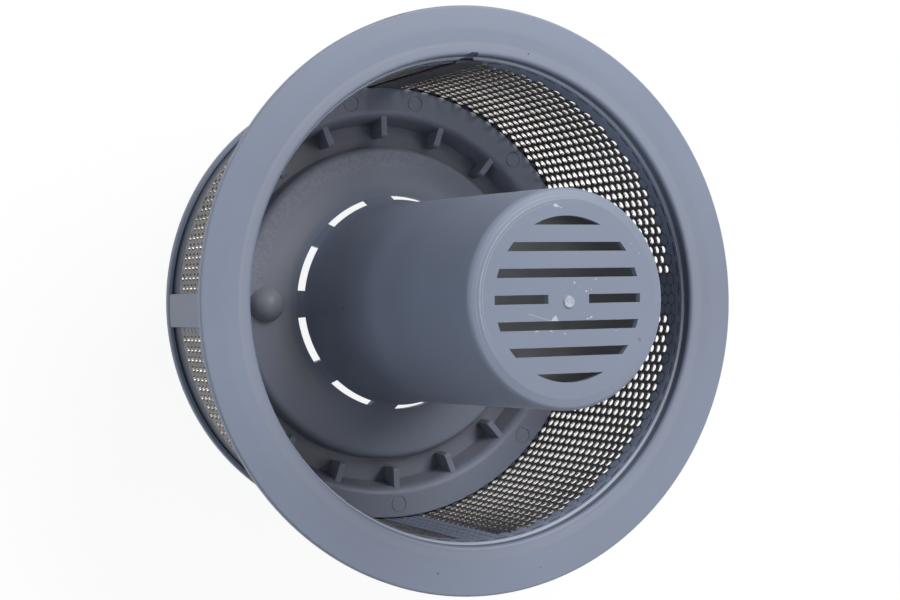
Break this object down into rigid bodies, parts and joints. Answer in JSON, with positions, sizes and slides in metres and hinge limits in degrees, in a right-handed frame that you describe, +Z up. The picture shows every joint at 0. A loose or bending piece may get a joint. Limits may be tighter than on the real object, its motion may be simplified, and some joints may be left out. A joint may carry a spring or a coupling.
{
  "type": "dishwasher filter",
  "caption": "Round coarse filter for a dishwasher sump: wide flange, perforated steel band, stepped floor and a hollow riser tube with a slotted top.",
  "frame": {"origin": "middle of the flat ring that the filter stands on, on the axis of the basket and the riser", "axes": "+Z up along the axis, from the foot to the slotted top; +X away from the stud on the dome, to within a degree"},
  "size_m": [0.165, 0.165, 0.1223],
  "materials": {
    "basket_plastic": "satin grey-blue moulding",
    "stainless_sheet": "dull rolled sheet",
    "riser_plastic": "satin grey-blue moulding"
  },
  "bodies": {
    "root": {"basket_frame": "basket_plastic", "perforated_band": "stainless_sheet", "riser": "riser_plastic"}
  },
  "joints": []
}
